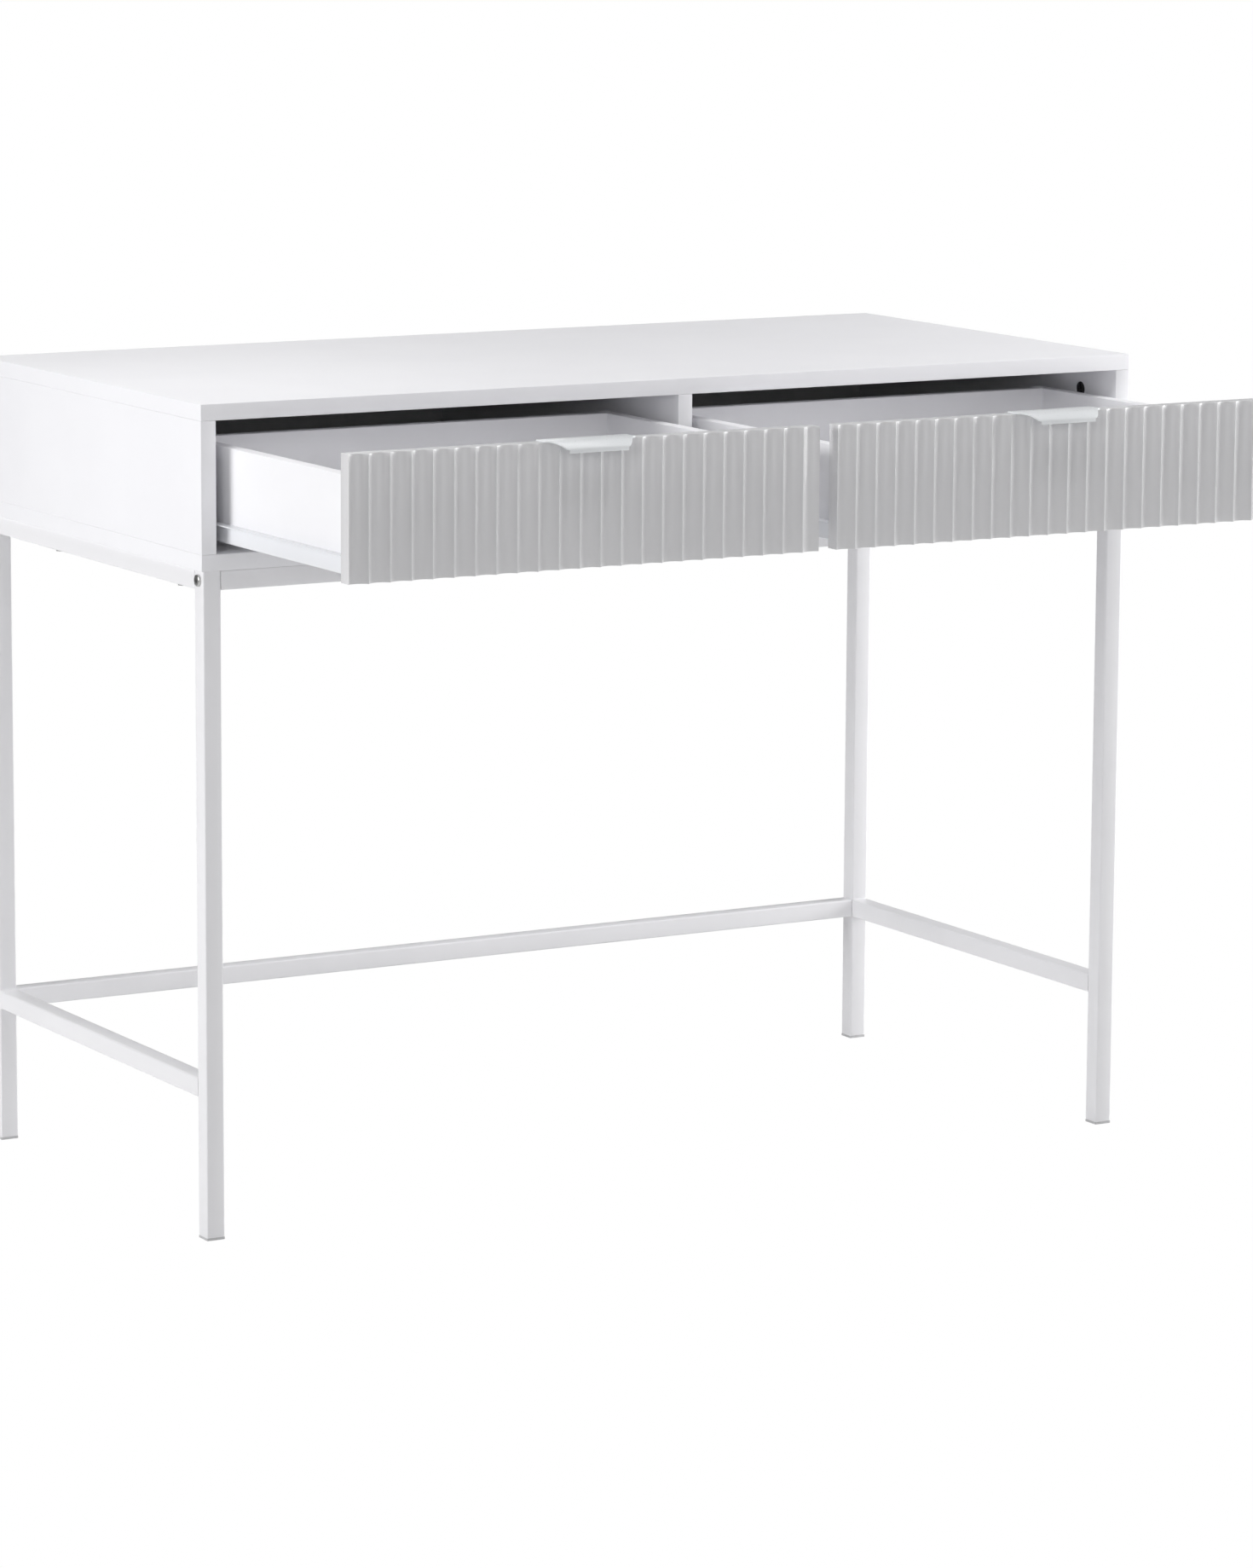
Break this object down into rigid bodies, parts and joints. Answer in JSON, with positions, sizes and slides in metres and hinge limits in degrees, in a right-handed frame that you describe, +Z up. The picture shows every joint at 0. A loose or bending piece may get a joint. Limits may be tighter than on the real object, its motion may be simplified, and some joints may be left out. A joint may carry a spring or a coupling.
{
  "type": "writing desk with drawers",
  "caption": "Rectangular writing desk with fluted drawer fronts, bent tab handles and a slim open square-tube frame with rear and side stretchers.",
  "frame": {"origin": "on the floor, under the middle of the box that holds the desk with both drawers open", "axes": "+X along the desk to its right, +Y to its rear, +Z up; the drawers open towards -Y"},
  "size_m": [1, 0.751, 0.765],
  "materials": {
    "carcass_board": "satin white melamine",
    "drawer_board": "satin white melamine",
    "fluted_board": "smooth white lacquer on fluted board",
    "back_board": "painted hardboard",
    "frame_steel": "fine white powder coat",
    "handle_steel": "smooth white powder coat",
    "runner_steel": "white epoxy coat",
    "nylon": "moulded nylon",
    "glide_plastic": "moulded plastic",
    "zinc_steel": "zinc plated",
    "cam_metal": "cast zinc, dark"
  },
  "bodies": {
    "carcass": {"top_panel": "carcass_board", "left_side_panel": "carcass_board", "right_side_panel": "carcass_board", "centre_divider": "carcass_board", "bottom_panel": "carcass_board", "back_panel": "back_board", "left_front_leg": "frame_steel", "left_rear_leg": "frame_steel", "right_front_leg": "frame_steel", "right_rear_leg": "frame_steel", "left_upper_rail": "frame_steel", "right_upper_rail": "frame_steel", "left_stretcher": "frame_steel", "right_stretcher": "frame_steel", "front_rail": "frame_steel", "rear_rail": "frame_steel", "rear_stretcher": "frame_steel", "glides": "glide_plastic", "frame_bolts": "zinc_steel", "frame_screws": "zinc_steel", "cam_locks": "cam_metal", "cam_bolts": "zinc_steel", "panel_screws": "zinc_steel", "left_bay_left_runner": "runner_steel", "left_bay_right_runner": "runner_steel", "right_bay_left_runner": "runner_steel", "right_bay_right_runner": "runner_steel", "bay_runner_screws": "zinc_steel"},
    "left_drawer": {"left_drawer_front": "fluted_board", "left_drawer_left_side": "drawer_board", "left_drawer_right_side": "drawer_board", "left_drawer_back": "drawer_board", "left_drawer_bottom": "drawer_board", "left_drawer_handle": "handle_steel", "left_drawer_handle_screws": "zinc_steel", "left_drawer_left_runner": "runner_steel", "left_drawer_right_runner": "runner_steel", "left_drawer_cam_locks": "cam_metal", "left_drawer_cam_bolts": "zinc_steel", "left_drawer_runner_screws": "zinc_steel"},
    "right_drawer": {"right_drawer_front": "fluted_board", "right_drawer_left_side": "drawer_board", "right_drawer_right_side": "drawer_board", "right_drawer_back": "drawer_board", "right_drawer_bottom": "drawer_board", "right_drawer_handle": "handle_steel", "right_drawer_handle_screws": "zinc_steel", "right_drawer_left_runner": "runner_steel", "right_drawer_right_runner": "runner_steel", "right_drawer_cam_locks": "cam_metal", "right_drawer_cam_bolts": "zinc_steel", "right_drawer_runner_screws": "zinc_steel"},
    "left_bay_left_roller": {"left_bay_left_roller": "nylon"},
    "left_bay_right_roller": {"left_bay_right_roller": "nylon"},
    "right_bay_left_roller": {"right_bay_left_roller": "nylon"},
    "right_bay_right_roller": {"right_bay_right_roller": "nylon"},
    "left_drawer_left_roller": {"left_drawer_left_roller": "nylon"},
    "left_drawer_right_roller": {"left_drawer_right_roller": "nylon"},
    "right_drawer_left_roller": {"right_drawer_left_roller": "nylon"},
    "right_drawer_right_roller": {"right_drawer_right_roller": "nylon"}
  },
  "joints": [
    {"name": "left_drawer_slide", "type": "slide", "parent": "carcass", "child": "left_drawer", "axis": [0, -1, 0], "range_m": [-0.255, 0.035]},
    {"name": "right_drawer_slide", "type": "slide", "parent": "carcass", "child": "right_drawer", "axis": [0, -1, 0], "range_m": [-0.255, 0.035]},
    {"name": "left_bay_left_roller_spin", "type": "hinge", "parent": "carcass", "child": "left_bay_left_roller", "pos_m": [-0.4792, -0.0745, 0.6485], "axis": [1, 0, 0], "continuous": true},
    {"name": "left_drawer_left_roller_spin", "type": "hinge", "parent": "left_drawer", "child": "left_drawer_left_roller", "pos_m": [-0.4792, -0.0025, 0.6465], "axis": [1, 0, 0], "continuous": true},
    {"name": "left_bay_right_roller_spin", "type": "hinge", "parent": "carcass", "child": "left_bay_right_roller", "pos_m": [-0.0133, -0.0745, 0.6485], "axis": [1, 0, 0], "continuous": true},
    {"name": "left_drawer_right_roller_spin", "type": "hinge", "parent": "left_drawer", "child": "left_drawer_right_roller", "pos_m": [-0.0133, -0.0025, 0.6465], "axis": [1, 0, 0], "continuous": true},
    {"name": "right_bay_left_roller_spin", "type": "hinge", "parent": "carcass", "child": "right_bay_left_roller", "pos_m": [0.0133, -0.0745, 0.6485], "axis": [1, 0, 0], "continuous": true},
    {"name": "right_drawer_left_roller_spin", "type": "hinge", "parent": "right_drawer", "child": "right_drawer_left_roller", "pos_m": [0.0133, -0.0025, 0.6465], "axis": [1, 0, 0], "continuous": true},
    {"name": "right_bay_right_roller_spin", "type": "hinge", "parent": "carcass", "child": "right_bay_right_roller", "pos_m": [0.4792, -0.0745, 0.6485], "axis": [1, 0, 0], "continuous": true},
    {"name": "right_drawer_right_roller_spin", "type": "hinge", "parent": "right_drawer", "child": "right_drawer_right_roller", "pos_m": [0.4792, -0.0025, 0.6465], "axis": [1, 0, 0], "continuous": true}
  ],
  "couplings": [
    {"joint": "left_bay_left_roller_spin", "follows": "left_drawer_slide", "rad_per_m": 153.85},
    {"joint": "left_drawer_left_roller_spin", "follows": "left_drawer_slide", "rad_per_m": 153.85},
    {"joint": "left_bay_right_roller_spin", "follows": "left_drawer_slide", "rad_per_m": 153.85},
    {"joint": "left_drawer_right_roller_spin", "follows": "left_drawer_slide", "rad_per_m": 153.85},
    {"joint": "right_bay_left_roller_spin", "follows": "right_drawer_slide", "rad_per_m": 153.85},
    {"joint": "right_drawer_left_roller_spin", "follows": "right_drawer_slide", "rad_per_m": 153.85},
    {"joint": "right_bay_right_roller_spin", "follows": "right_drawer_slide", "rad_per_m": 153.85},
    {"joint": "right_drawer_right_roller_spin", "follows": "right_drawer_slide", "rad_per_m": 153.85}
  ]
}
